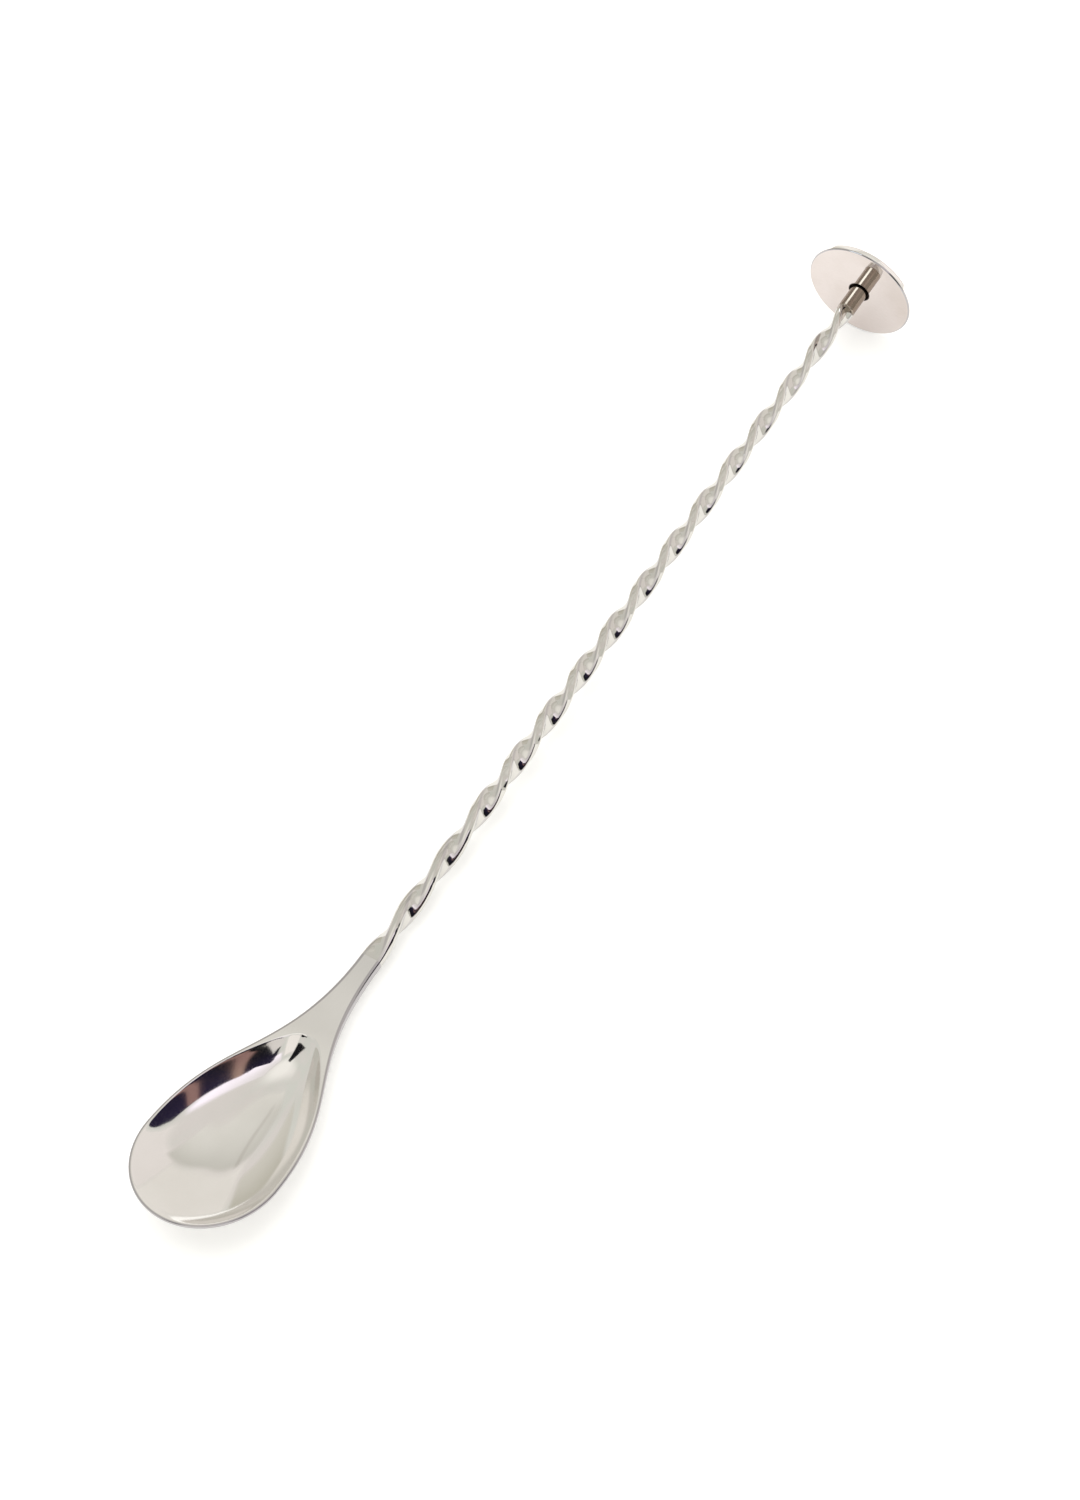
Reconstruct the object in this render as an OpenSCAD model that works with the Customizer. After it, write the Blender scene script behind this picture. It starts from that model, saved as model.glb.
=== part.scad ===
// Twisted bar spoon with a flat muddling disc, lying on a table with its bowl upwards.
// All lengths are in millimetres. +X runs from the bowl's tip towards the disc, +Z is up,
// and the origin is on the table, below the middle of the spoon.

/* [Bowl] */
// Length of the pressed bowl with its neck, from the weld to the tip
bowl_len = 74; // [68:0.5:84]
// Width of the bowl at its widest place
bowl_w = 30.5; // [26:0.5:34]
// Distance from the weld to the widest place
widest_at = 56.5; // [48:0.5:60]
// How far the neck stays slender before the bowl swells
neck_reach = 29.5; // [20:0.5:34]
// How far the swelling eases into the widest place
shoulder_reach = 25; // [14:0.5:28]
// Depth of the hollow below the rim
hollow_depth = 5.2; // [3.5:0.1:8]
// Distance from the weld to the top of the arch where the hollow starts
hollow_from = 22.5; // [14:0.5:28]
// Distance from the weld to where the hollow has its full depth
deepest_at = 43; // [36:0.5:52]
// How far before the hollow the belly starts to swell under the neck
belly_lead = 8; // [4:0.5:12]
// Thickness of the pressed sheet under the hollow
sheet_t = 1.2; // [0.9:0.1:2]
// Width of the flat on top of the lip, inside its rounded edge
lip_flat = 0.2; // [0.1:0.05:0.8]
// Height of the lip's outer side
lip_h = 1; // [0.8:0.1:1.6]
// Rounding of the lip's edges
lip_round = 0.3; // [0.1:0.05:0.4]
// Height of the tip above the line of the neck
tip_rise = 10; // [4:0.5:13]

/* [Stem] */
// Length of the twisted bar, from the weld to its shoulder under the collar
stem_len = 197.5; // [150:0.5:260]
// Width of the flat bar and of the neck at the weld
neck_w = 4.7; // [3.8:0.1:6]
// Thickness of the flat bar and of the neck at the weld
neck_t = 2.6; // [2:0.1:3.2]
// Width of the flat bar at the collar
shoulder_w = 4.1; // [3.2:0.1:4.6]
// Thickness of the flat bar at the collar
shoulder_t = 1.9; // [1.8:0.1:2.6]
// Rounding of the edges of the bar and the neck
bar_round = 0.75; // [0.3:0.05:0.8]
// Length of one full turn of the left-hand twist
twist_pitch = 25.6; // [18:0.2:50]
// Length over which the twist starts above the weld
twist_start = 5; // [1:0.5:12]
// Share by which the first turns above the weld are slower
twist_lag = 0.14; // [0:0.01:0.3]
// Length over which the slower turns come up to the even pitch
twist_even = 80; // [40:1:120]
// Diameter of the round tenon on the end of the bar
tenon_d = 1.6; // [1.2:0.1:1.7]

/* [Collar] */
// Outer diameter of the round collar
collar_d = 4.1; // [3.6:0.1:5.5]
// Length of the collar that shows between the bar and the disc
collar_len = 6.4; // [4:0.2:12]
// Bevel on both ends of the collar
collar_bevel = 0.2; // [0.05:0.05:0.4]

/* [Disc] */
// Diameter of the muddling disc
disc_d = 25.5; // [20:0.5:32]
// Thickness of the disc
disc_t = 1.6; // [1.4:0.1:3]
// Radius of the rounded rim
disc_edge_r = 0.4; // [0.2:0.05:0.6]
// Width of the open ring round the collar in the disc's seat
seat_ring = 0.4; // [0.2:0.05:0.8]
// Depth of the seat that takes the end of the collar
seat_depth = 0.5; // [0.3:0.05:0.6]
// How far the tenon goes on into the disc below the seat
tenon_reach = 0.5; // [0.2:0.05:0.6]

/* [Fits] */
// Gap left round the tenon for the braze
braze_gap = 0.03; // [0.01:0.01:0.08]

/* [Hidden] */
steel = [0.79, 0.78, 0.75];
mirror_steel = [0.86, 0.83, 0.79];
$fn = 96;

// The rim climbs from the neck along this power of the distance
rise_power = 1.5;
// The hollow's heel, end wall and side walls follow these powers
heel_power = 4.2;
end_wall_power = 3.3;
side_wall_power = 2.6;
// How gently the heels of the hollow and the belly start
hollow_start = 1;
belly_start = 2;
// Shares of the depth over which the edges of the hollow and the belly turn over
hollow_edge = 0.03;
belly_edge = 0.1;
heel_steps = 40;
tip_steps = 16;
wall_steps = 24;
degrees_per_ring = 13;

neck_x = -(collar_len + stem_len);
tip_len = bowl_len - widest_at;
last_step = heel_steps + tip_steps;

// Plan of the bowl: a cubic curve from the neck to the widest place, then a quarter ellipse.
function cubic(a, b, c, d, t) =
    a * pow(1 - t, 3) + 3 * b * t * pow(1 - t, 2) + 3 * c * t * t * (1 - t) + d * pow(t, 3);
function swell(t) = [
    cubic(0, neck_reach, widest_at - shoulder_reach, widest_at, t),
    cubic(neck_w, neck_w, bowl_w, bowl_w, t) / 2
];
function round_tip(angle) = [widest_at + tip_len * sin(angle), bowl_w / 2 * cos(angle)];
function plan(step) =
    step <= heel_steps ? swell(step / heel_steps) : round_tip(90 * (step - heel_steps) / tip_steps);

// Outward direction of the plan, and the plan moved inwards by a distance.
function along(step) = plan(min(step + 0.01, last_step)) - plan(max(step - 0.01, 0));
function outward(step) =
    step == last_step ? [1, 0] : let (a = along(step)) [-a.y, a.x] / norm(a);
function inset(step, by) = plan(step) - by * outward(step);

// Heights along the bowl, measured from the axis of the stem.
function rim_z(x) = neck_t / 2 + tip_rise * pow(x / bowl_len, rise_power);
function ease(t) = let (u = min(max(t, 0), 1)) u * u * (3 - 2 * u);
function edge_h(x) = neck_t + (lip_h - neck_t) * ease(x / deepest_at);
function edge_round(x) = bar_round + (lip_round - bar_round) * ease(x / deepest_at);

// How far a wall has sunk, from 0 on the lip to 1 at full depth: its heel ends in an arch below the neck.
function heel(x, from, start) =
    let (t = min(max((x - from) / (deepest_at - from), 0), 1))
    1 - pow(1 - pow(t, start), heel_power);
function end_wall(x, end) = 1 - pow(min((x - deepest_at) / (end - deepest_at), 1), end_wall_power);
function sunk(x, end, from, start, across) =
    let (side = pow(abs(across), side_wall_power))
    x < deepest_at ? max(heel(x, from, start) - side, 0) : (1 - side) * end_wall(x, end);
function turned_over(share, edge) = (1 + edge) * share * share / (share + edge);

// Points of the hollow and of the belly: across runs from -1 at one lip to 1 at the other.
function hollow_point(step, across) =
    let (
        by = edge_round(plan(step).x) + lip_flat,
        p = inset(step, by),
        share = sunk(p.x, bowl_len - by, hollow_from, hollow_start, across)
    )
    [p.x, p.y * across, rim_z(p.x) - hollow_depth * turned_over(share, hollow_edge)];
belly_depth = hollow_depth + sheet_t - lip_h;
function belly_point(step, across) =
    let (
        by = edge_round(plan(step).x),
        p = inset(step, by),
        share = sunk(p.x, bowl_len - by, hollow_from - belly_lead, belly_start, across)
    )
    [p.x, p.y * across, rim_z(p.x) - edge_h(p.x) - belly_depth * turned_over(share, belly_edge)];
function lip_point(step, by, drop, side) =
    let (p = inset(step, by))
    [p.x, side * p.y, rim_z(p.x) - drop];

// The rounded outer edge of the rim on one side, from the top of the lip downwards.
slack = 1 - cos(45);
function lip_edge(step, side) =
    let (
        x = plan(step).x,
        r = edge_round(x),
        h = edge_h(x)
    )
    [
        lip_point(step, r, 0, side),
        lip_point(step, r * slack, r * slack, side),
        lip_point(step, 0, r, side),
        lip_point(step, 0, h - r, side),
        lip_point(step, r * slack, h - r * slack, side)
    ];
lip_points = 5;

// Sections of the bowl, each a closed ring: hollow, one lip, underside, other lip.
function spread(i) = -cos(180 * i / wall_steps);
function bowl_ring(step) =
    let (far_edge = lip_edge(step, -1))
    concat(
        [for (i = [0:wall_steps]) hollow_point(step, spread(i))],
        lip_edge(step, 1),
        [for (i = [0:wall_steps]) belly_point(step, -spread(i))],
        [for (i = [lip_points - 1:-1:0]) far_edge[i]]
    );
ring_size = 2 * (wall_steps + 1 + lip_points);

// At the tip both halves of a ring meet, so each of its points is counted once.
tip_picks = [0, for (i = [1:lip_points + 1]) wall_steps + i];
function tip_pick(k) =
    k <= wall_steps ? 0
    : k <= wall_steps + lip_points ? k - wall_steps
    : k <= 2 * wall_steps + lip_points + 1 ? lip_points + 1
    : ring_size - k;
function bowl_index(step, k) =
    let (j = k % ring_size)
    step < last_step ? step * ring_size + j : last_step * ring_size + tip_pick(j);
function is_face(f) = f[0] != f[1] && f[1] != f[2] && f[2] != f[0];

// Triangles of a tube of rings, closed at its first ring.
function bowl_faces() =
    let (
        skin = [
            for (step = [0:last_step - 1])
                for (k = [0:ring_size - 1])
                    let (
                        a = bowl_index(step, k),
                        b = bowl_index(step, k + 1),
                        c = bowl_index(step + 1, k + 1),
                        d = bowl_index(step + 1, k)
                    )
                    for (f = [[a, b, c], [a, c, d]])
                        if (is_face(f)) f
        ]
    )
    concat(skin, [[for (k = [ring_size - 1:-1:0]) k]]);

// Section of the flat bar, a rectangle with rounded edges, set in rings at even angles of the twist.
function bar_corner(y, z) =
    let (
        r = bar_round,
        s = bar_round * slack
    )
    [[y - r, z], [y - s, z - s], [y, z - r]];
function bar_section(w, t) =
    let (
        c = bar_corner(w / 2, t / 2),
        m = [c[2], c[1], c[0]]
    )
    concat(
        [[0, t / 2]],
        c,
        [for (p = m) [p.x, -p.y]],
        [[0, -t / 2]],
        [for (p = c) -p],
        [for (p = m) [-p.x, p.y]]
    );
twist_rate = 360 / twist_pitch;
function twist_at(x) =
    let (
        full = 1 - twist_lag,
        climb = twist_even - twist_start,
        a = min(x, twist_start),
        b = min(max(x - twist_start, 0), climb),
        c = max(x - twist_even, 0)
    )
    twist_rate * (full * a * a / (2 * twist_start) + full * b + twist_lag * b * b / (2 * climb) + c);
all_turns = twist_at(stem_len);
stem_rings = ceil(all_turns / degrees_per_ring);
function reach(turn, low, high, halvings) =
    halvings == 0
        ? high
        : let (middle = (low + high) / 2)
          twist_at(middle) < turn
              ? reach(turn, middle, high, halvings - 1)
              : reach(turn, low, middle, halvings - 1);
function ring_x(i) = i == 0 ? 0 : reach(all_turns * i / stem_rings, 0, stem_len, 40);
function between(a, b, t) = a + (b - a) * t;
function bar_ring(x) =
    let (
        turn = -twist_at(x),
        t = x / stem_len,
        section = bar_section(between(neck_w, shoulder_w, t), between(neck_t, shoulder_t, t))
    )
    [for (p = section) [x, p.x * cos(turn) - p.y * sin(turn), p.x * sin(turn) + p.y * cos(turn)]];
bar_points = [for (i = [0:stem_rings]) each bar_ring(ring_x(i))];
corners = len(bar_section(neck_w, neck_t));
bar_skin = [
    for (i = [0:stem_rings - 1])
        for (k = [0:corners - 1])
            let (
                a = i * corners + k,
                b = i * corners + (k + 1) % corners
            )
            each [[a, b, b + corners], [a, b + corners, a + corners]]
];
bar_ends = [
    for (k = [1:corners - 2])
        let (end = stem_rings * corners)
        each [[0, k + 1, k], [end, end + k, end + k + 1]]
];

// The spoon lies on the rim of its disc and on the underside of its bowl.
rim_round = [disc_edge_r, disc_edge_r - disc_d / 2];
belly = [
    for (step = [0:last_step - 1])
        let (p = belly_point(step, 0))
        [neck_x - p.x, p.z]
];
lie_angle = min([
    for (p = belly)
        let (
            run = rim_round.x - p.x,
            drop = p.y - rim_round.y
        )
        atan2(drop, run) + asin(disc_edge_r / norm([run, drop]))
]);
table_z = rim_round.x * sin(lie_angle) + rim_round.y * cos(lie_angle) - disc_edge_r;
disc_end_x =
    (disc_t - disc_edge_r) * cos(lie_angle) - rim_round.y * sin(lie_angle) + disc_edge_r;
tip_end_x =
    (neck_x - bowl_len) * cos(lie_angle) - (rim_z(bowl_len) - lip_round) * sin(lie_angle);
middle_x = (disc_end_x + tip_end_x) / 2;

// Sets a piece down on the table: pieces are drawn with the stem along X and the disc's seat side at 0.
module laid() {
    translate([-middle_x, 0, -table_z])
        rotate([0, -lie_angle, 0])
            children();
}

// Turns a profile so that its axis lies along the stem.
module on_axis(x) {
    translate([x, 0, 0])
        rotate([0, 90, 0])
            children();
}

// Pressed bowl with its neck: a lofted shell with a flat lip, thickest at the weld.
module bowl() {
    rings = [for (step = [0:last_step - 1]) each bowl_ring(step)];
    tip_ring = bowl_ring(last_step);
    tip = [for (k = tip_picks) tip_ring[k]];
    color(steel)
        laid()
            translate([neck_x, 0, 0])
                rotate([0, 0, 180])
                    polyhedron(concat(rings, tip), bowl_faces());
}

// Flat bar, tapered and twisted to the left, with a round tenon turned on its upper end.
module stem() {
    tenon_len = collar_len + seat_depth + tenon_reach - braze_gap;
    root = 1;
    color(steel)
        laid()
            union() {
                translate([neck_x, 0, 0])
                    polyhedron(bar_points, concat(bar_skin, bar_ends));
                on_axis(-collar_len - root)
                    cylinder(d = tenon_d, h = root + tenon_len);
            }
}

// Round collar, threaded over the tenon and clamped between the bar's shoulder and the disc.
module collar() {
    length = collar_len + seat_depth;
    bore_r = tenon_d / 2 + braze_gap;
    outer_r = collar_d / 2;
    color(steel)
        laid()
            on_axis(-collar_len)
                rotate_extrude()
                    polygon([
                        [bore_r, 0],
                        [outer_r - collar_bevel, 0],
                        [outer_r, collar_bevel],
                        [outer_r, length - collar_bevel],
                        [outer_r - collar_bevel, length],
                        [bore_r, length]
                    ]);
}

// Mirror-polished disc with a rounded rim, a shallow seat for the collar and a blind hole for the tenon.
module disc() {
    flat_r = disc_d / 2 - disc_edge_r;
    color(mirror_steel)
        laid()
            on_axis(0)
                difference() {
                    rotate_extrude()
                        union() {
                            square([flat_r, disc_t]);
                            translate([0, disc_edge_r])
                                square([disc_d / 2, disc_t - 2 * disc_edge_r]);
                            for (z = [disc_edge_r, disc_t - disc_edge_r])
                                translate([flat_r, z])
                                    circle(r = disc_edge_r);
                        }
                    translate([0, 0, -1])
                        cylinder(d = collar_d + 2 * seat_ring, h = 1 + seat_depth);
                    cylinder(d = tenon_d + 2 * braze_gap, h = seat_depth + tenon_reach);
                }
}

bowl();
stem();
collar();
disc();
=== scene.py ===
# %% [markdown]
# # A twisted bar spoon in polished steel
# A bar spoon is pressed, twisted, welded and brazed together from four pieces of stainless steel: a
# bowl, a twisted bar, a round collar and a flat disc for muddling. This lesson builds each piece as a
# fine mesh over the packed solids, gives it a polished finish made of shader nodes, and lights it like
# a product on a white sweep.

# %% The fixed frame
import math

import bmesh
import bpy
import numpy as np
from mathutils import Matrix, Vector


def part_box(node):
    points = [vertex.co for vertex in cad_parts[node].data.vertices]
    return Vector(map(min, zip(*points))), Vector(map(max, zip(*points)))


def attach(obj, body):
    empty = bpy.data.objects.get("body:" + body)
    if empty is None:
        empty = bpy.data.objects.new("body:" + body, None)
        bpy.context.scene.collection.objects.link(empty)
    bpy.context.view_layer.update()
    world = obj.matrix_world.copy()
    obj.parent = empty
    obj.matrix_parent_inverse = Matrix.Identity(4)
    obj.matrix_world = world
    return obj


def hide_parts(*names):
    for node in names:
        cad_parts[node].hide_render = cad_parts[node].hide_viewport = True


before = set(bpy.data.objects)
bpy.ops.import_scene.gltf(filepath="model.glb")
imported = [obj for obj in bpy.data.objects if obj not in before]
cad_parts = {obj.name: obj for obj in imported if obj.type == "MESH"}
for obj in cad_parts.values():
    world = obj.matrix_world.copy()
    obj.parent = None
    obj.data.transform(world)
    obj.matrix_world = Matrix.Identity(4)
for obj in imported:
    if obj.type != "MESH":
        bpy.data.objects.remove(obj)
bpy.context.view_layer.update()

# %% [markdown]
# ## One set of sizes
# The spoon is drawn in millimetres with its stem along X, the disc's inner face at 0 and the bowl on
# the far left, as its solids are. Sizes could be typed where they are used, but then pieces that fit
# together would drift apart, so the driving sizes are named once, here, for all the cells below.

# %% Sizes
BOWL_LEN, BOWL_W, WIDEST_AT = 74.0, 30.5, 56.5
NECK_REACH, SHOULDER_REACH = 29.5, 25.0
HOLLOW_DEPTH, HOLLOW_FROM, DEEPEST_AT, BELLY_LEAD = 5.2, 22.5, 43.0, 8.0
SHEET_T, LIP_FLAT, LIP_H, LIP_ROUND, TIP_RISE = 1.2, 0.2, 1.0, 0.3, 10.0
STEM_LEN, NECK_W, NECK_T, SHOULDER_W, SHOULDER_T = 197.5, 4.7, 2.6, 4.1, 1.9
BAR_ROUND, TENON_D, BRAZE_GAP = 0.75, 1.6, 0.03
TWIST_PITCH, TWIST_START, TWIST_LAG, TWIST_EVEN = 25.6, 5.0, 0.14, 80.0
COLLAR_D, COLLAR_LEN, COLLAR_BEVEL = 4.1, 6.4, 0.2
DISC_D, DISC_T, DISC_EDGE_R = 25.5, 1.6, 0.4
SEAT_RING, SEAT_DEPTH, TENON_REACH = 0.4, 0.5, 0.5
NECK_X = -(COLLAR_LEN + STEM_LEN)
print("bowl, stem, collar and disc add up to", BOWL_LEN + STEM_LEN + COLLAR_LEN + DISC_T, "mm")

# %% [markdown]
# ## The shape of the bowl
# The bowl is stamped from a flat blank and pressed hollow, and its neck is left as thick as the bar.
# In plan it is a cubic curve from the neck to the widest place and a quarter ellipse round the tip,
# and the rim rises towards the tip. The hollow starts in an arch below the neck and drops quickly; the
# belly under it swells more gently. A cage could be pushed into this shape by hand, but formulas suit
# it better, because its solid follows the same ones.

# %% Curves of the bowl
RISE_POWER, HEEL_POWER, END_WALL_POWER, SIDE_WALL_POWER = 1.5, 4.2, 3.3, 2.6
HOLLOW_START, BELLY_START = 1.0, 2.0
HOLLOW_EDGE, BELLY_EDGE = 0.03, 0.1


def ease(t):
    """0 below 0, 1 above 1, and a smooth step between them."""
    u = min(max(t, 0.0), 1.0)
    return u * u * (3 - 2 * u)


def bowl_plan(step):
    """A point of the plan and its way out: step is 0 to 1 on the heel and 1 to 2 round the tip."""
    if step <= 1:
        t, back = step, 1 - step
        weights = np.array([back ** 3, 3 * t * back ** 2, 3 * t * t * back, t ** 3])
        slopes = np.array([-3 * back ** 2, 3 * back * (1 - 3 * t), 3 * t * (2 - 3 * t), 3 * t * t])
        guides = np.array([[0, NECK_W / 2], [NECK_REACH, NECK_W / 2],
                           [WIDEST_AT - SHOULDER_REACH, BOWL_W / 2], [WIDEST_AT, BOWL_W / 2]])
        point, run = weights @ guides, slopes @ guides
    else:
        angle = math.radians(90 * (step - 1))
        length = BOWL_LEN - WIDEST_AT
        point = np.array([WIDEST_AT + length * math.sin(angle), BOWL_W / 2 * math.cos(angle)])
        run = np.array([length * math.cos(angle), -BOWL_W / 2 * math.sin(angle)])
    return point, np.array([-run[1], run[0]]) / np.linalg.norm(run)


def rim_height(x):
    """Height of the rim over the stem's axis, at a distance from the weld."""
    return NECK_T / 2 + TIP_RISE * (x / BOWL_LEN) ** RISE_POWER


def edge_height(x):
    """Height of the cut edge, from the thick neck to the thin lip."""
    return NECK_T + (LIP_H - NECK_T) * ease(x / DEEPEST_AT)


def edge_rounding(x):
    """Rounding of the cut edge, from the neck to the lip."""
    return BAR_ROUND + (LIP_ROUND - BAR_ROUND) * ease(x / DEEPEST_AT)


def sunk(x, end, first, start, edge, across):
    """Share of the full depth at a place: 0 on the lip, 1 at the deepest, with a soft edge."""
    side = abs(across) ** SIDE_WALL_POWER
    if x < DEEPEST_AT:
        t = max((x - first) / (DEEPEST_AT - first), 0.0)
        share = max(1 - (1 - t ** start) ** HEEL_POWER - side, 0.0)
    else:
        share = (1 - side) * (1 - min((x - DEEPEST_AT) / (end - DEEPEST_AT), 1.0) ** END_WALL_POWER)
    return (1 + edge) * share * share / (share + edge)


def hollow_point(point, out, across):
    """A point inside the hollow; across runs from -1 to 1 between the lips."""
    by = edge_rounding(point[0]) + LIP_FLAT
    x, y = point - by * out
    share = sunk(x, BOWL_LEN - by, HOLLOW_FROM, HOLLOW_START, HOLLOW_EDGE, across)
    return np.array([x, y * across, rim_height(x) - HOLLOW_DEPTH * share])


def belly_point(point, out, across):
    """A point of the belly under the hollow."""
    by = edge_rounding(point[0])
    x, y = point - by * out
    share = sunk(x, BOWL_LEN - by, HOLLOW_FROM - BELLY_LEAD, BELLY_START, BELLY_EDGE, across)
    depth = HOLLOW_DEPTH + SHEET_T - LIP_H
    return np.array([x, y * across, rim_height(x) - edge_height(x) - depth * share])


print("rim of the tip is", round(rim_height(BOWL_LEN), 2), "mm above the stem's axis")

# %% [markdown]
# ## The way it lies
# The spoon rests on the rim of its disc and on the belly of its bowl. A rigid body could be dropped to
# find how it lies, but a formula is exact: it is the smallest angle that brings any point of the belly
# level with the rounded rim. Every point is tipped by that angle, moved to where the disc's solid
# stands in the frame, and changed to metres.

# %% Tipping the drawing on to the table
MM_PER_M = 1000
BELLY_FROM, BELLY_TO, BELLY_STEPS = 0.2, 1.8, 400

rim_round = np.array([DISC_EDGE_R, DISC_EDGE_R - DISC_D / 2])
belly_steps = np.linspace(BELLY_FROM, BELLY_TO, BELLY_STEPS)
belly_line = np.array([belly_point(*bowl_plan(step), 0.0) for step in belly_steps])
run = rim_round[0] - (NECK_X - belly_line[:, 0])
drop = belly_line[:, 2] - rim_round[1]
LIE_ANGLE = (np.arctan2(drop, run) + np.arcsin(DISC_EDGE_R / np.hypot(run, drop))).min()

disc_box = [np.array(corner) * MM_PER_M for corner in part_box("disc")]
disc_middle = DISC_T / 2 * np.array([math.cos(LIE_ANGLE), 0, math.sin(LIE_ANGLE)])
DISC_AT = (disc_box[0] + disc_box[1]) / 2 - disc_middle


def laid(points):
    """Tips points in millimetres on to the table and gives them in metres."""
    x, y, z = np.moveaxis(np.asarray(points, float), -1, 0)
    c, s = math.cos(LIE_ANGLE), math.sin(LIE_ANGLE)
    return (np.stack([x * c - z * s, y, x * s + z * c], -1) + DISC_AT) / MM_PER_M


print("lies at", round(math.degrees(LIE_ANGLE), 3), "degrees, disc at", DISC_AT.round(3), "mm")

# %% [markdown]
# ## From rings to a skin
# A pressed bowl, a twisted bar and a turned collar are all rows of rings, so one helper joins rings
# with quads and closes the ends. Bevelled curves could make some of them, but rings keep every edge
# under control. Points that meet, as at the bowl's tip, are merged, and smooth shading does the rest:
# edges that turn more than a set angle stay sharp. A point can carry named marks, which the finishes
# read later.

# %% A helper that skins rings
SAME_POINT, SHARP_ANGLE = 2e-7, 40


def skin(name, rings, close_start=True, close_end=True, marks=None):
    """A mesh over rings of equal length, in millimetres; marks are named shares on its points."""
    rings = np.asarray(rings, float)
    count, size = rings.shape[:2]
    mesh = bmesh.new()
    layers = {mark: mesh.verts.layers.float.new(mark) for mark in marks or {}}
    verts = [mesh.verts.new(p) for p in laid(rings).reshape(-1, 3)]
    for mark, layer in layers.items():
        shares = np.broadcast_to(np.asarray(marks[mark], float), (count, size)).reshape(-1)
        for vert, share in zip(verts, shares):
            vert[layer] = share
    for i in range(count - 1):
        for k in range(size):
            n = (k + 1) % size
            mesh.faces.new([verts[i * size + k], verts[i * size + n],
                            verts[(i + 1) * size + n], verts[(i + 1) * size + k]])
    if close_start:
        mesh.faces.new(verts[:size][::-1])
    if close_end:
        mesh.faces.new(verts[-size:])
    bmesh.ops.remove_doubles(mesh, verts=mesh.verts, dist=SAME_POINT)
    bmesh.ops.recalc_face_normals(mesh, faces=mesh.faces)
    data = bpy.data.meshes.new(name)
    mesh.to_mesh(data)
    mesh.free()
    data.shade_smooth()
    data.set_sharp_from_angle(angle=math.radians(SHARP_ANGLE))
    piece = bpy.data.objects.new(name, data)
    bpy.context.scene.collection.objects.link(piece)
    print(name, "has", len(data.polygons), "faces")
    return piece


print("edges that turn more than", SHARP_ANGLE, "degrees stay sharp")

# %% [markdown]
# ## The pressed bowl
# A subdivided cage would need many loops to hold the thin lip, so the bowl is a loft of rings that
# follow its plan. Each ring runs across the hollow, out over the flat lip, round the lip's edge, back
# along the belly and up the other edge. Points crowd together near the lips, where the walls are
# steepest. The cut edge and the flat neck are marked for a painted grey shade, which stands for the
# dark outline that the edges mirror and for the greyer look of the neck.

# %% Lofting the bowl
HEEL_RINGS, TIP_RINGS, WALL_POINTS, EDGE_ARC = 150, 60, 81, 6
# The first is the share of painted grey shade on top of the neck, the second how far it fades.
NECK_SHADE, NECK_FADE = 0.2, 8.0


def arc(centre_a, centre_b, radius, start, stop, steps):
    """Points of an arc in a plane, by angles in degrees."""
    return [(centre_a + radius * math.cos(math.radians(t)), centre_b + radius * math.sin(math.radians(t)))
            for t in np.linspace(start, stop, steps)]


def bowl_ring(step):
    """One closed ring across the bowl at a step of its plan."""
    point, out = bowl_plan(step)
    height, rounding = edge_height(point[0]), edge_rounding(point[0])

    def lip_edge(side):
        """From the top of the lip, over its rounded edge, down to the belly."""
        top = arc(rounding, rounding, rounding, 270, 180, EDGE_ARC)
        low = arc(rounding, height - rounding, rounding, 180, 90, EDGE_ARC)[:-1]
        places = [(point - by * out, drop) for by, drop in top + low]
        return [np.array([x, y * side, rim_height(x) - drop]) for (x, y), drop in places]

    spread = -np.cos(np.linspace(0, math.pi, WALL_POINTS))
    hollow = [hollow_point(point, out, a) for a in spread]
    belly = [belly_point(point, out, -a) for a in spread]
    ring = np.array(hollow + lip_edge(1) + belly + lip_edge(-1)[::-1])
    return ring * (-1, -1, 1) + (NECK_X, 0, 0)


def bowl_marks(step):
    """Painted grey shade on that ring: the cut edges in full, and the top a little where it is still
    neck.
    """
    past = bowl_plan(step)[0][0] - (HOLLOW_FROM - NECK_FADE / 2)
    top = NECK_SHADE * (1 - ease(past / NECK_FADE))
    edge = [1.0] * (2 * EDGE_ARC - 1)
    return [top] * WALL_POINTS + edge + [0.0] * WALL_POINTS + edge


bowl_steps = [*np.linspace(0, 1, HEEL_RINGS), *np.linspace(1, 2, TIP_RINGS)[1:]]
bowl = skin("bowl_pressed", [bowl_ring(step) for step in bowl_steps], close_end=False,
            marks={"painted_edge_shade": [bowl_marks(step) for step in bowl_steps]})

# %% [markdown]
# ## The stem
# The stem starts as a flat bar with rounded edges, and a bench twister turns it to the left. The first
# turns by the neck are slower, because the bar is thicker there. A Simple Deform modifier would twist
# it at an even rate, so a ring of points for the bar's section is turned a little further at each step
# instead. The last rings step down to the round tenon that goes through the collar. The lines where
# the wide sides meet the rounded edges are marked for painted grey shade, the dark outline they mirror.
# A buffing wheel has worn the edges of the first turns, which stand proud, quite round.

# %% The twisted bar
BAR_RINGS, FLAT_POINTS, EDGE_POINTS, ROUND_POINTS = 840, 9, 3, 6
WORN_EASE, WORN_TO, WORN_ROUND = 6.0, 36.0, 0.48
TENON_SHORT, EDGE_LINE_SHADE = 0.05, 0.6


def bar_section(w, t, r):
    """Points round a rectangle with rounded edges, wide sides on top and below."""
    y, z = w / 2 - r, t / 2 - r
    right_top = arc(y, z, r, 90, 0, ROUND_POINTS)
    right_low = arc(y, -z, r, 0, -90, ROUND_POINTS)
    flat = [(s, t / 2) for s in np.linspace(-y, y, FLAT_POINTS)[1:-1]]
    edge = [(w / 2, s) for s in np.linspace(z, -z, EDGE_POINTS)[1:-1]]
    half = np.array(flat + right_top + edge + right_low)
    return np.concatenate([half, -half])


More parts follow.
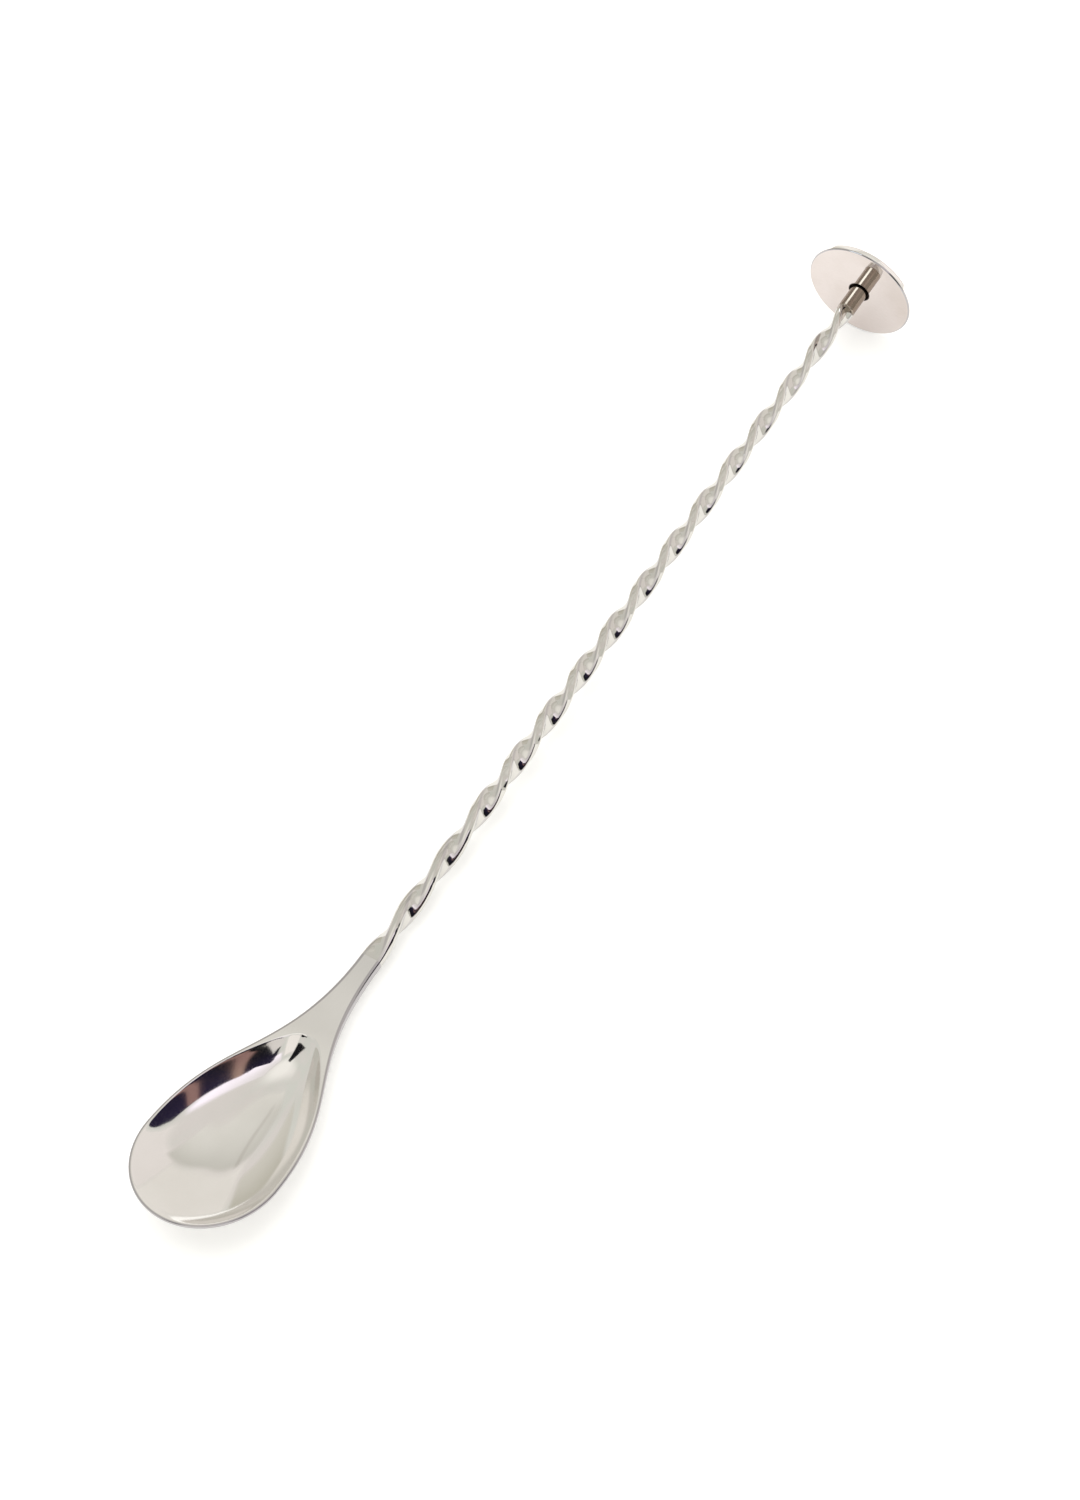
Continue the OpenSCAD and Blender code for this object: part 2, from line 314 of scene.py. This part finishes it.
def twist_at(x):
    """Angle that the bar has turned at a distance from the weld, in radians."""
    full, climb = 1 - TWIST_LAG, TWIST_EVEN - TWIST_START
    a, b, c = min(x, TWIST_START), min(max(x - TWIST_START, 0), climb), max(x - TWIST_EVEN, 0)
    turned = full * a * a / (2 * TWIST_START) + full * b + TWIST_LAG * b * b / (2 * climb) + c
    return math.tau / TWIST_PITCH * turned


def bar_ring(x):
    """The bar's section at a distance from the weld, turned by the twist."""
    share = x / STEM_LEN
    w, t = NECK_W + (SHOULDER_W - NECK_W) * share, NECK_T + (SHOULDER_T - NECK_T) * share
    worn = ease(x / WORN_EASE) * (1 - ease((x - WORN_TO) / (2 * WORN_EASE)))
    section = bar_section(w, t, BAR_ROUND + (WORN_ROUND * t - BAR_ROUND) * worn)
    c, s = math.cos(-twist_at(x)), math.sin(-twist_at(x))
    return np.array([(NECK_X + x, y * c - z * s, y * s + z * c) for y, z in section])


bar_rings = [bar_ring(x) for x in np.linspace(0, STEM_LEN, BAR_RINGS)]
angles = np.arctan2(bar_rings[-1][:, 2], bar_rings[-1][:, 1])
tenon_circle = TENON_D / 2 * np.column_stack([np.cos(angles), np.sin(angles)])
for x in (-COLLAR_LEN, SEAT_DEPTH + TENON_REACH - TENON_SHORT):
    bar_rings.append(np.column_stack([np.full(len(angles), x), tenon_circle]))
# Painted grey shade on the lines where the wide sides meet the rounded edges.
by_flat = [EDGE_LINE_SHADE, EDGE_LINE_SHADE] + [0] * (ROUND_POINTS - 2)
half_marks = [0] * (FLAT_POINTS - 2) + by_flat + [0] * (EDGE_POINTS - 2) + by_flat[::-1]
stem = skin("stem_twisted", bar_rings, marks={"painted_edge_shade": half_marks * 2})

# %% [markdown]
# ## The collar
# The collar is a short tube over the bar's tenon, turned on a lathe. A Screw modifier could spin its
# profile about the stem's axis, but a loop keeps the marks with their rings. Points close together
# keep a small round at each edge. The extra points along its straight side keep the shading straight,
# and let the painted shade and stain of the brazed seat end in a narrow band.

# %% The turned collar
TURN_POINTS, BEVEL_STEPS, HOLD_RING, SEAT_MARK_REACH = 128, 6, 1.5, 0.3


def turned(name, profile, marks):
    """Spins a profile of (distance along the stem, radius) about the stem's axis."""
    spin = np.linspace(0, math.tau, TURN_POINTS, endpoint=False)
    rings = [[(x, r * math.cos(a), r * math.sin(a)) for a in spin] for x, r in profile]
    marks = {mark: np.array(shares, float)[:, None] for mark, shares in marks.items()}
    return skin(name, rings, close_start=False, close_end=False, marks=marks)


bore, outer_r, bevel = TENON_D / 2 + BRAZE_GAP, COLLAR_D / 2, COLLAR_BEVEL
near_edge = arc(-COLLAR_LEN + bevel, outer_r - bevel, bevel, 180, 90, BEVEL_STEPS)
far_edge = arc(SEAT_DEPTH - bevel, outer_r - bevel, bevel, 90, 0, BEVEL_STEPS)
straight = [(x, outer_r) for x in (-COLLAR_LEN + HOLD_RING * bevel, -SEAT_MARK_REACH, -SEAT_MARK_REACH / 3)]
collar_profile = [(-COLLAR_LEN, bore)] + near_edge + straight + far_edge
collar_profile += [(SEAT_DEPTH, bore), (-COLLAR_LEN, bore)]
by_seat = [x > -SEAT_MARK_REACH / 2 for x, _ in collar_profile]
collar = turned("collar_turned", collar_profile, {"seat_shade_and_stain": by_seat})

# %% [markdown]
# ## The disc
# The disc is turned in the same way. It has a rounded rim and a shallow seat that takes the collar's
# end and leaves an open ring round it, painted nearly black for the shade in the gap and the brazing's
# stain. Its corner is painted grey for the dark outline that it mirrors, and its rim is painted near
# white as a highlight, so both are marked.

# %% The turned disc
RIM_STEPS, FACE_RINGS, FACE_HOLD = 8, 8, 0.3
SEAT_BREAK, AXIS_R, HAIR = 0.06, 0.001, 0.01

rim, flat_r, seat_r = DISC_D / 2, DISC_D / 2 - DISC_EDGE_R, COLLAR_D / 2 + SEAT_RING
hole_end = SEAT_DEPTH + TENON_REACH
inner_radii = np.linspace(seat_r + SEAT_MARK_REACH, flat_r - FACE_HOLD, FACE_RINGS)
outer_radii = np.linspace(flat_r - FACE_HOLD, AXIS_R, FACE_RINGS)
disc_profile = [(hole_end, AXIS_R), (hole_end, bore), (SEAT_DEPTH, bore), (SEAT_DEPTH, seat_r)]
disc_profile += [(SEAT_BREAK, seat_r), (0, seat_r + SEAT_BREAK), (0, seat_r + SEAT_MARK_REACH / 3)]
disc_profile += [(0, r) for r in inner_radii]
disc_profile += arc(DISC_EDGE_R, flat_r, DISC_EDGE_R, 180, 90, RIM_STEPS)
disc_profile += arc(DISC_T - DISC_EDGE_R, flat_r, DISC_EDGE_R, 90, 0, RIM_STEPS)
disc_profile += [(DISC_T, r) for r in outer_radii]

rim_from = DISC_EDGE_R - HAIR
# Marks for painted light: the seat ring nearly black for its shade and stain, the corner grey shade, the
# rim a white highlight.
in_seat = [r < seat_r + SEAT_MARK_REACH / 2 and x < DISC_T for x, r in disc_profile]
at_corner = [r > flat_r + DISC_EDGE_R / 4 and x < rim_from for x, r in disc_profile]
on_rim = [r > rim - HAIR and x >= rim_from for x, r in disc_profile]
disc_marks = {"seat_shade_and_stain": in_seat, "painted_edge_shade": at_corner, "painted_rim_highlight": on_rim}
disc = turned("disc_turned", disc_profile, disc_marks)

# %% [markdown]
# ## Shader sums
# A material reads better as a sum than as a web of nodes, so a small class wraps one socket and makes
# Math nodes from the usual signs. Any other node goes through one method, which takes its settings
# first and then what is plugged into its sockets.

# %% A class for shader sums
class Wire:
    """One output in a shader tree, with signs that make Math nodes."""

    def __init__(self, tree, socket=None):
        self.tree, self.socket = tree, socket

    def plug(self, socket, value):
        """Links a wire to a socket, or sets the socket to a plain value."""
        if isinstance(value, Wire):
            self.tree.links.new(value.socket, socket)
        else:
            socket.default_value = value

    def node(self, kind, settings=None, inputs=None, output=0):
        """Adds a node: settings first, then socket values or links."""
        made = self.tree.nodes.new(kind)
        for name, value in (settings or {}).items():
            setattr(made, name, value)
        for name, value in (inputs or {}).items():
            self.plug(made.inputs[name], value)
        return Wire(self.tree, made.outputs[output])

    def math(self, operation, a, b=0.0):
        return self.node("ShaderNodeMath", {"operation": operation}, {0: a, 1: b})

    def __add__(self, other):
        return self.math("ADD", self, other)

    def __radd__(self, other):
        return self.math("ADD", other, self)

    def __sub__(self, other):
        return self.math("SUBTRACT", self, other)

    def __rsub__(self, other):
        return self.math("SUBTRACT", other, self)

    def __mul__(self, other):
        return self.math("MULTIPLY", self, other)

    def __rmul__(self, other):
        return self.math("MULTIPLY", other, self)

    def span(self, low, high):
        """0 below low, 1 above high, and a smooth ramp between them."""
        limits = {"Value": self, "From Min": low, "From Max": high}
        return self.node("ShaderNodeMapRange", {"interpolation_type": "SMOOTHSTEP"}, limits)

    def mix(self, a, b):
        """Blends two colours by this value."""
        return self.node("ShaderNodeMix", {"data_type": "RGBA"}, {0: self, 6: a, 7: b}, output=2)

    def scaled(self, factors):
        """Stretches a vector along its axes."""
        return self.node("ShaderNodeVectorMath", {"operation": "MULTIPLY"}, {0: self, 1: factors})

    def noise(self, scale, detail=2.0, roughness=0.5):
        inputs = {"Vector": self, "Scale": scale, "Detail": detail, "Roughness": roughness}
        return self.node("ShaderNodeTexNoise", {}, inputs)

    def mark(self, name):
        """A named share that the points of the mesh carry."""
        return self.node("ShaderNodeAttribute", {"attribute_name": name}, output="Fac")


print("a wire can", [name for name in vars(Wire) if not name.startswith("_")])

# %% [markdown]
# ## Polished steel
# Buffed stainless steel is a mirror that is not quite clean: broad smudges dull it a little, the
# buffing wheel leaves hair-fine lines along the piece, and the pressed sheet is never perfectly even.
# Pictures of steel would have to be unwrapped on to each piece. Noise in the piece's own coordinates
# needs none of that and makes all three, and they feed the colour, the roughness and a very shallow
# bump. The marks on the points then paint a grey shade along the edges, a nearly black seat that is
# shade and brazing stain, and a white highlight on the turned rim.

# %% The steel finish
# Painted colours: a grey shade for the dark outline along edges, and a near-black shade with some brazing
# stain for the seat.
EDGE_SHADE_GREY, SHADE_AND_STAIN_BROWN = (0.46, 0.44, 0.45, 1), (0.016, 0.009, 0.006, 1)
# A painted white highlight for the disc's rim.
RIM_HIGHLIGHT_WHITE = (0.96, 0.935, 0.91, 1)
SMUDGES_PER_M, SPECKS_PER_M, RIPPLES_PER_M = 70.0, 2400.0, 110.0
SMUDGE_SPAN, SPECK_SPAN, LINE_SPAN = (0.35, 0.75), (0.68, 0.8), (0.45, 0.8)
SMUDGE_TONE, LINE_TONE = 0.55, 0.45
SMUDGE_HAZE, LINE_HAZE = 0.6, 0.4
SPECK_ROUGH, EDGE_ROUGH, STAIN_ROUGH = 0.03, 0.03, 0.4
LINE_RELIEF, SPECK_RELIEF, BUMP_STRENGTH, BUMP_DEPTH = 0.02, 0.01, 0.25, 0.0002


def steel(name, bright, dull, gloss, haze, grain, waviness):
    """Polished steel: two tones, a range of roughness, the lines' stretch and the ripples' depth."""
    material = bpy.data.materials.new(name)
    material.use_nodes = True
    shader = material.node_tree.nodes["Principled BSDF"]
    place = Wire(material.node_tree).node("ShaderNodeTexCoord", output="Object")
    smudge = place.noise(SMUDGES_PER_M, detail=3.0).span(*SMUDGE_SPAN)
    lines = place.scaled(grain).noise(1.0, detail=4.0, roughness=0.65)
    speck = place.noise(SPECKS_PER_M).span(*SPECK_SPAN)
    ripple = place.noise(RIPPLES_PER_M, detail=1.0)

    edge, shade_and_stain, rim_highlight = [place.mark(mark) for mark in ("painted_edge_shade", "seat_shade_and_stain", "painted_rim_highlight")]
    tone = (smudge * SMUDGE_TONE + lines * LINE_TONE).mix((*bright, 1), (*dull, 1))
    # Painted light: a white highlight on the turned rim, grey shade along the edges, and a nearly black
    # seat that is shade and brazing stain.
    tone = shade_and_stain.mix(edge.mix(rim_highlight.mix(tone, RIM_HIGHLIGHT_WHITE), EDGE_SHADE_GREY), SHADE_AND_STAIN_BROWN)
    hazier = smudge * SMUDGE_HAZE + lines.span(*LINE_SPAN) * LINE_HAZE
    rough = gloss + hazier * (haze - gloss)
    rough = rough + speck * SPECK_ROUGH + edge * EDGE_ROUGH + shade_and_stain * STAIN_ROUGH
    height = ripple * waviness + lines * LINE_RELIEF + speck * SPECK_RELIEF
    relief = {"Strength": BUMP_STRENGTH, "Distance": BUMP_DEPTH, "Height": height}
    bump = place.node("ShaderNodeBump", {}, relief)
    for socket, wire in (("Base Color", tone), ("Roughness", rough), ("Normal", bump)):
        place.plug(shader.inputs[socket], wire)
    shader.inputs["Metallic"].default_value = 1.0
    return material


print("steel has smudges about every", round(MM_PER_M / SMUDGES_PER_M), "mm")

# %% [markdown]
# ## Four finishes
# Each piece has its own tone. The bowl is the brightest, the bar a little greyer, the collar browned
# by the heat of the brazing, and the disc polished to a warm mirror. The buffing lines run along the
# stem, more loosely along the bowl, and level across the disc, so the noise is stretched for each in
# its own way.

# %% Finishing the pieces
ALONG_STEM = (120.0, 5200.0, 5200.0)
ALONG_BOWL = (700.0, 3600.0, 700.0)
ACROSS_DISC = (900.0, 900.0, 3200.0)

bowl_steel = steel("bowl_steel", bright=(0.82, 0.80, 0.78), dull=(0.75, 0.73, 0.70),
                   gloss=0.06, haze=0.13, grain=ALONG_BOWL, waviness=0.25)
stem_steel = steel("stem_steel", bright=(0.69, 0.67, 0.635), dull=(0.61, 0.59, 0.555),
                   gloss=0.05, haze=0.14, grain=ALONG_STEM, waviness=0.15)
collar_steel = steel("collar_steel", bright=(0.37, 0.315, 0.265), dull=(0.25, 0.21, 0.172),
                     gloss=0.08, haze=0.20, grain=ALONG_STEM, waviness=0.10)
disc_steel = steel("disc_steel", bright=(0.735, 0.675, 0.655), dull=(0.60, 0.53, 0.49),
                   gloss=0.03, haze=0.08, grain=ACROSS_DISC, waviness=0.12)

finishes = (("bowl", bowl, bowl_steel, "polished_steel"),
            ("stem", stem, stem_steel, "polished_steel"),
            ("collar", collar, collar_steel, "polished_steel"),
            ("disc", disc, disc_steel, "mirror_steel"))
for node, piece, material, slot in finishes:
    piece.data.materials.append(material)
    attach(piece, "root")
    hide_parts(node)
print("finished", [material.name for _, _, material, _ in finishes])

# %% [markdown]
# ## The white sweep
# A mirror shows its surroundings, so the studio matters as much as the steel. A sweep is often curved
# up at the back, but the camera looks down here, and a flat sheet fills the picture. It is opal
# acrylic, lit a little from below so that it stays white up to the spoon.

# %% Floor
FLOOR_HALF, FLOOR_WHITE, FLOOR_ROUGH, FLOOR_GLOW = 3.0, 0.9, 0.9, 0.28


def show(name, data, material):
    """Puts a mesh of the studio into the scene, outside the spoon."""
    data.materials.append(material)
    made = bpy.data.objects.new(name, data)
    bpy.context.scene.collection.objects.link(made)
    return made


opal = bpy.data.materials.new("opal_white")
opal.use_nodes = True
opal_sockets = opal.node_tree.nodes["Principled BSDF"].inputs
opal_sockets["Base Color"].default_value = (FLOOR_WHITE, FLOOR_WHITE, FLOOR_WHITE, 1)
opal_sockets["Roughness"].default_value = FLOOR_ROUGH
opal_sockets["Specular IOR Level"].default_value = 0.0
opal_sockets["Emission Color"].default_value = (1, 1, 1, 1)
opal_sockets["Emission Strength"].default_value = FLOOR_GLOW
corners = [(x * FLOOR_HALF, y * FLOOR_HALF, 0) for x, y in ((-1, -1), (1, -1), (1, 1), (-1, 1))]
sheet = bpy.data.meshes.new("floor")
sheet.from_pydata(corners, [], [(0, 1, 2, 3)])
show("floor", sheet, opal)
print("floor of", 2 * FLOOR_HALF, "m")

# %% [markdown]
# ## The tent
# The air all round is a soft white tent whose cloth is not quite even: a slow noise drifts between a
# rosy and a greenish white, and the top is brighter. A picture of a real studio could stand in for it,
# but a few nodes are enough. The tent is the world's background, so it lights the floor as well.

# %% Tent
TENT_ROSY, TENT_GREEN, TENT_TOP = (1.0, 0.955, 0.915, 1), (0.93, 0.945, 0.88, 1), (1.32, 1.30, 1.24, 1)
TENT_DRIFT, TENT_SPAN, TENT_TOP_SPAN, TENT_STRENGTH = 2.2, (0.35, 0.65), (0.88, 0.99), 0.83

world = bpy.data.worlds.new("tent")
bpy.context.scene.world = world
world.use_nodes = True
cloth = Wire(world.node_tree).node("ShaderNodeTexCoord", output="Generated")
tint = cloth.noise(TENT_DRIFT, detail=1.0).span(*TENT_SPAN).mix(TENT_ROSY, TENT_GREEN)
height = cloth.node("ShaderNodeSeparateXYZ", {}, {0: cloth}, output="Z")
tint = height.span(*TENT_TOP_SPAN).mix(tint, TENT_TOP)
backdrop = world.node_tree.nodes["Background"]
tint.plug(backdrop.inputs["Color"], tint)
backdrop.inputs["Strength"].default_value = TENT_STRENGTH
print("tent", world.name)

# %% [markdown]
# ## Black cards
# Polished metal needs something dark to mirror, or it looks like white plastic. Dark patches painted
# on the steel would stay where they are when the camera moves, so black cards, with two brown posts
# before them, stand beside the spoon. Only mirrors see them, and only the first mirror on a ray's way:
# a dark thing that showed again in the mirror of a mirror would streak the near wall of the bowl.

# %% Cards and posts
BLACK, NAVY = (0.008, 0.008, 0.010, 1), (0.022, 0.016, 0.045, 1)
BROWN, TAN = (0.34, 0.20, 0.18, 1), (0.46, 0.31, 0.25, 1)
TALL_AT, LEANING_AT, LONG_AT, FAR_AT, POST_AT = 0.180, 0.1795, 0.181, 0.23, 0.175
MIRROR_LIMIT = 1.5


def first_mirror(wire):
    """Shows a thing in the first mirror, where the depth is 1, and not in the mirror of a mirror."""
    return wire.math("LESS_THAN", wire.node("ShaderNodeLightPath", output="Glossy Depth"), MIRROR_LIMIT)


def mirrored(name, points, faces, low, high, shown):
    """A mesh that only mirrors see, that glows from a low to a high colour and is shown as said."""
    data = bpy.data.meshes.new(name)
    data.from_pydata(points, [], faces)
    material = bpy.data.materials.new(name)
    material.use_nodes = True
    shader = material.node_tree.nodes["Principled BSDF"]
    place = Wire(material.node_tree).node("ShaderNodeTexCoord", output="Generated")
    height = place.node("ShaderNodeSeparateXYZ", {}, {0: place}, output="Z")
    place.plug(shader.inputs["Emission Color"], height.span(0.0, 1.0).mix(low, high))
    place.plug(shader.inputs["Alpha"], shown(place))
    shader.inputs["Base Color"].default_value = (0, 0, 0, 1)
    shader.inputs["Specular IOR Level"].default_value = 0.0
    shader.inputs["Emission Strength"].default_value = 1.0
    made = show(name, data, material)
    made.visible_camera = made.visible_diffuse = made.visible_shadow = made.visible_transmission = False
    return made


def standing_card(name, distance, low, high, outline):
    """A flat card beside the spoon, by its outline along the table and up."""
    points = [(x, -distance, z) for x, z in outline]
    return mirrored(name, points, [tuple(range(len(outline)))], low, high, first_mirror)


cards = [
    standing_card("tall_card", TALL_AT, BLACK, NAVY, [
        (-0.159, 0.012), (-0.09, 0.012), (-0.08, 0.15),
        (-0.115, 0.225), (-0.142, 0.205), (-0.157, 0.09)]),
    standing_card("leaning_card", LEANING_AT, BLACK, NAVY, [
        (-0.192, 0.076), (-0.178, 0.08), (-0.150, 0.12), (-0.145, 0.19), (-0.168, 0.155)]),
    standing_card("long_card", LONG_AT, BLACK, NAVY, [
        (-0.10, 0.012), (-0.02, 0.02), (0.03, 0.04), (0.03, 0.183), (-0.06, 0.178), (-0.10, 0.15)]),
    standing_card("far_card", FAR_AT, BLACK, NAVY, [
        (0.0, 0.032), (0.112, 0.074), (0.10, 0.237), (0.0, 0.228)]),
    standing_card("tan_post", POST_AT, BROWN, TAN, [
        (-0.141, 0.03), (-0.129, 0.03), (-0.036, 0.178), (-0.050, 0.178)]),
    standing_card("brown_post", POST_AT, BROWN, BROWN, [
        (-0.069, 0.08), (-0.055, 0.08), (0.017, 0.178), (0.001, 0.178)])]
print("beside the spoon stand", [card.name for card in cards])

# %% [markdown]
# ## Pale cloths
# Further away hang paler cloths, which give the hollow its soft patches of white, rose, beige and
# grey. Each is a patch of a sphere round the bowl, given by its angles, and fades out at its border.
# Where two overlap, one hangs a fold nearer. The flag beyond the bowl's tip is black, so it shows in
# the first mirror alone.

# %% Hung cloths
BOWL_AT, CLOTH_FAR, FOLD = Vector((-0.105, 0.0, 0.005)), 0.95, 0.01
COLUMNS, ROWS = 13, 9
CREAM, ROSY, BEIGE = (1.05, 1.01, 0.96, 1), (0.93, 0.885, 0.85, 1), (0.93, 0.90, 0.85, 1)
LILAC_WHITE, SOFT_WHITE = (1.35, 1.26, 1.40, 1), (0.92, 0.88, 0.88, 1)
MID_GREY, PALE_GREY = (0.66, 0.65, 0.595, 1), (0.88, 0.865, 0.81, 1)
SEAM_GREY, SEAM_PALE = (0.58, 0.56, 0.51, 1), (0.66, 0.64, 0.59, 1)
OLIVE, PALE_OLIVE = (0.60, 0.58, 0.50, 1), (0.74, 0.72, 0.65, 1)


def soft_border(wire):
    """Fades a cloth out at its border, by the shares on its points."""
    return wire.mark("cloth_share")


def hung_cloth(name, azimuth, elevation, low, high, folds=0, shown=soft_border):
    """A bent cloth between two azimuths and two elevations, in degrees."""
    points, shares = [], []
    for j, e in enumerate(np.radians(np.linspace(*elevation, ROWS))):
        for i, a in enumerate(np.radians(np.linspace(*azimuth, COLUMNS))):
            ray = Vector((math.cos(e) * math.cos(a), math.cos(e) * math.sin(a), math.sin(e)))
            points.append(BOWL_AT + ray * (CLOTH_FAR - folds * FOLD))
            shares.append(float(0 < i < COLUMNS - 1 and 0 < j < ROWS - 1))
    firsts = [j * COLUMNS + i for j in range(ROWS - 1) for i in range(COLUMNS - 1)]
    faces = [(k, k + 1, k + COLUMNS + 1, k + COLUMNS) for k in firsts]
    made = mirrored(name, points, faces, low, high, shown)
    made.data.attributes.new("cloth_share", "FLOAT", "POINT").data.foreach_set("value", shares)


hung_cloth("white_cloth", (-122, -46), (38, 68), LILAC_WHITE, SOFT_WHITE)
hung_cloth("cream_cloth", (-168, -124), (3, 60), CREAM, CREAM)
hung_cloth("rosy_cloth", (-46, 2), (2, 43), ROSY, ROSY)
hung_cloth("beige_cloth", (-2, 43), (-2, 39), BEIGE, BEIGE, folds=1)
hung_cloth("grey_cloth", (-16, 48), (37, 56), MID_GREY, PALE_GREY, folds=2)
hung_cloth("dark_seam", (34.5, 37), (37, 49), SEAM_GREY, SEAM_PALE, folds=3)
hung_cloth("olive_cloth", (42, 65), (-2, 31), OLIVE, PALE_OLIVE)
hung_cloth("back_flag", (-207, -171), (39, 77), BLACK, BLACK, shown=first_mirror)
print("cloths hang", CLOTH_FAR, "m from the bowl")

# %% [markdown]
# ## Cards with a front
# Two small things are meant for one place alone. A bright strip light faces the disc and draws the
# line along the collar, and a black card close to the first turns widens their dark marks. Each shows
# from its front alone, and turns its back to the hollow of the bowl.

# %% Strip light and near card
STRIP_LIGHT, STRIP_X = (4.4, 5.2, 5.6, 1), 0.08
NEAR_CARD_START, NEAR_CARD_END = (-0.0105, -0.0636), (0.0123, -0.0817)


def front_side(wire):
    """Shows a thing from its front alone."""
    return 1 - wire.node("ShaderNodeNewGeometry", output="Backfacing")


strip_outline = [(STRIP_X, 0.050, 0.058), (STRIP_X, 0.064, 0.076),
                 (STRIP_X, 0.028, 0.096), (STRIP_X, 0.021, 0.074)]
near_outline = [(*NEAR_CARD_START, 0.012), (*NEAR_CARD_START, 0.055),
                (*NEAR_CARD_END, 0.069), (*NEAR_CARD_END, 0.018)]
mirrored("strip_light", strip_outline, [(0, 1, 2, 3)], STRIP_LIGHT, STRIP_LIGHT, front_side)
mirrored("near_card", near_outline, [(0, 1, 2, 3)], BLACK, NAVY, front_side)
print("strip light at", STRIP_X, "m along the stem")

# %% [markdown]
# ## Soft light
# One big lamp beyond the spoon leaves a faint shadow on the near side of the bowl. A sun would draw it
# with a hard edge. The steel doesn't mirror the lamp, because the tent, the cards and the cloths
# already draw its highlights.

# %% Lamp
LAMP_AT, LAMP_SIZE, LAMP_POWER = (0.1, 0.5, 1.5), 1.6, 10.0

lamp_data = bpy.data.lights.new("soft_lamp", "AREA")
lamp_data.size, lamp_data.energy = LAMP_SIZE, LAMP_POWER
lamp = bpy.data.objects.new("soft_lamp", lamp_data)
lamp.location = LAMP_AT
lamp.rotation_mode = "QUATERNION"
lamp.rotation_quaternion = (-Vector(LAMP_AT)).to_track_quat("-Z", "Y")
lamp.visible_glossy = False
bpy.context.scene.collection.objects.link(lamp)
print("lamp of", LAMP_SIZE, "m")

# %% [markdown]
# ## The camera
# The photograph looks down on the spoon from beyond its bowl with a long lens, so the spoon runs up
# the picture from the lower left and hardly narrows. The camera is level, and its lens follows from
# the size of the picture.

# %% Camera
CAMERA_AT = (-0.422674, -0.258942, 0.686386)
CAMERA_LOOKS = (0.49855, 0.30555, -0.81122)
PICTURE_LONG_SIDE, FOCAL_PIXELS = 1500, 4000

lens = bpy.data.cameras.new("camera")
lens.lens = lens.sensor_width * FOCAL_PIXELS / PICTURE_LONG_SIDE
lens.dof.use_dof = False
camera = bpy.data.objects.new("camera", lens)
camera.location = CAMERA_AT
camera.rotation_mode = "QUATERNION"
camera.rotation_quaternion = Vector(CAMERA_LOOKS).to_track_quat("-Z", "Y")
bpy.context.scene.collection.objects.link(camera)
bpy.context.scene.camera = camera
bpy.context.scene.view_settings.view_transform = "Standard"
print("lens", round(lens.lens, 2), "mm")
